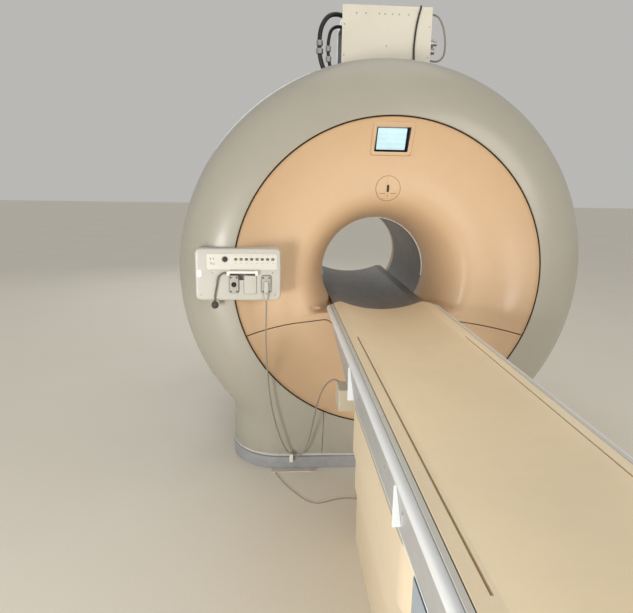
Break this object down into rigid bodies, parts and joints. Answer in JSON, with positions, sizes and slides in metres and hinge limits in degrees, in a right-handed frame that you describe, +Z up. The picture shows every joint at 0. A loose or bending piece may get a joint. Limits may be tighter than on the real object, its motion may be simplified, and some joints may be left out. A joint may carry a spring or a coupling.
{
  "type": "mri scanner",
  "caption": "Hospital magnetic resonance scanner: round-bore magnet in moulded covers on a plinth, with control panel, service turret and sliding patient table.",
  "frame": {"origin": "on the floor, on the underside of the magnet's base plate, straight below the centre of the bore", "axes": "+Z up, +Y along the bore from the table side into the bore, +X to the right as seen from the table"},
  "size_m": [2.1318, 4.04, 2.425],
  "materials": {
    "ring_shell": "satin moulded cover",
    "panel_cream": "satin moulded cover",
    "liner_grey": "matt laminate",
    "bridge_grey": "matt laminate",
    "plinth_blue": "satin paint",
    "base_steel": "primer paint",
    "vessel_steel": "brushed",
    "coil_resin": "cast resin",
    "coil_board": "glass fibre laminate",
    "bezel_black": "fine grain",
    "screen_lit": "lit display",
    "light_disc": "tinted window",
    "turret_white": "powder coat",
    "turret_steel": "powder coat",
    "cold_head_steel": "machined",
    "pipe_steel": "satin",
    "panel_grey": "fine grain",
    "strip_light": "printed film without print",
    "key_dark": "satin",
    "button_black": "gloss",
    "handle_white": "satin",
    "socket_grey": "satin",
    "bulb_rubber": "soft",
    "tube_rubber": "soft",
    "cable_sleeve": "satin",
    "plug_grey": "fine grain",
    "plug_dark": "fine grain",
    "clip_white": "satin",
    "top_beige": "satin gel coat",
    "frame_grey": "anodised",
    "rail_grey": "soft bumper",
    "band_grey": "satin paint",
    "cover_beige": "satin moulded cover",
    "foot_blue": "satin paint",
    "bracket_white": "satin",
    "box_white": "satin",
    "motor_dark": "satin paint",
    "pulley_alu": "turned",
    "belt_rubber": "ribbed",
    "threshold_metal": "worn"
  },
  "bodies": {
    "scanner": {"magnet_base": "base_steel", "cryostat": "vessel_steel", "gradient_coil": "coil_resin", "rf_body_coil": "coil_board", "bore_liner": "liner_grey", "bore_bridge": "bridge_grey", "front_ring_cover": "ring_shell", "front_skirt_cover": "ring_shell", "front_panel": "panel_cream", "lower_front_panel": "panel_cream", "display_frame": "panel_cream", "display_bezel": "bezel_black", "display_screen": "screen_lit", "alignment_light": "light_disc", "plinth_skirt": "plinth_blue", "rear_ring_cover": "ring_shell", "rear_panel": "panel_cream", "left_side_cover": "ring_shell", "right_side_cover": "ring_shell", "turret_frame": "turret_steel", "turret_front_plate": "turret_white", "cold_head": "cold_head_steel", "quench_outlet": "pipe_steel", "control_panel_housing": "panel_grey", "key_strip": "strip_light", "panel_handle": "handle_white", "panel_sockets": "socket_grey", "call_bulb": "bulb_rubber", "call_tube": "tube_rubber", "panel_cable": "cable_sleeve", "panel_plug": "plug_grey", "table_plug": "plug_dark", "cable_clip": "clip_white", "floor_wire": "cable_sleeve", "table_frame": "frame_grey", "bumper_rails": "rail_grey", "side_bands": "band_grey", "upper_table_cover": "cover_beige", "middle_table_cover": "cover_beige", "lower_table_cover": "cover_beige", "foot_end_cover": "foot_blue", "wedge_brackets": "bracket_white", "table_socket_box": "box_white", "lift_column": "base_steel", "table_base_frame": "base_steel", "drive_motor": "motor_dark", "drive_belt": "belt_rubber", "threshold_plate": "threshold_metal"},
    "tabletop": {"tabletop": "top_beige"},
    "drive_pulley": {"drive_pulley": "pulley_alu"},
    "idler_pulley": {"idler_pulley": "pulley_alu"},
    "stop_button": {"round_button": "button_black"},
    "key_1": {"key_1": "key_dark"},
    "key_2": {"key_2": "key_dark"},
    "key_3": {"key_3": "key_dark"},
    "key_4": {"key_4": "key_dark"},
    "key_5": {"key_5": "key_dark"},
    "key_6": {"key_6": "key_dark"},
    "key_7": {"key_7": "key_dark"},
    "key_8": {"key_8": "key_dark"}
  },
  "joints": [
    {"name": "tabletop_slide", "type": "slide", "parent": "scanner", "child": "tabletop", "axis": [0, 1, 0], "range_m": [0, 1.7]},
    {"name": "drive_pulley_turn", "type": "hinge", "parent": "scanner", "child": "drive_pulley", "pos_m": [0, -3.045, 0.8091], "axis": [-1, 0, 0], "range_deg": [0, 4250]},
    {"name": "idler_pulley_turn", "type": "hinge", "parent": "scanner", "child": "idler_pulley", "pos_m": [0, -1.225, 0.8091], "axis": [-1, 0, 0], "range_deg": [0, 4250]},
    {"name": "stop_button_press", "type": "slide", "parent": "scanner", "child": "stop_button", "axis": [0, 1, 0], "range_m": [0, 0.003], "stiffness_N_per_m": 500, "springref_m": -0.002},
    {"name": "key_1_press", "type": "slide", "parent": "scanner", "child": "key_1", "axis": [0, 1, 0], "range_m": [0, 0.0012], "stiffness_N_per_m": 600, "springref_m": -0.001},
    {"name": "key_2_press", "type": "slide", "parent": "scanner", "child": "key_2", "axis": [0, 1, 0], "range_m": [0, 0.0012], "stiffness_N_per_m": 600, "springref_m": -0.001},
    {"name": "key_3_press", "type": "slide", "parent": "scanner", "child": "key_3", "axis": [0, 1, 0], "range_m": [0, 0.0012], "stiffness_N_per_m": 600, "springref_m": -0.001},
    {"name": "key_4_press", "type": "slide", "parent": "scanner", "child": "key_4", "axis": [0, 1, 0], "range_m": [0, 0.0012], "stiffness_N_per_m": 600, "springref_m": -0.001},
    {"name": "key_5_press", "type": "slide", "parent": "scanner", "child": "key_5", "axis": [0, 1, 0], "range_m": [0, 0.0012], "stiffness_N_per_m": 600, "springref_m": -0.001},
    {"name": "key_6_press", "type": "slide", "parent": "scanner", "child": "key_6", "axis": [0, 1, 0], "range_m": [0, 0.0012], "stiffness_N_per_m": 600, "springref_m": -0.001},
    {"name": "key_7_press", "type": "slide", "parent": "scanner", "child": "key_7", "axis": [0, 1, 0], "range_m": [0, 0.0012], "stiffness_N_per_m": 600, "springref_m": -0.001},
    {"name": "key_8_press", "type": "slide", "parent": "scanner", "child": "key_8", "axis": [0, 1, 0], "range_m": [0, 0.0012], "stiffness_N_per_m": 600, "springref_m": -0.001}
  ],
  "couplings": [
    {"joint": "drive_pulley_turn", "follows": "tabletop_slide", "rad_per_m": 43.011},
    {"joint": "idler_pulley_turn", "follows": "tabletop_slide", "rad_per_m": 43.011}
  ]
}
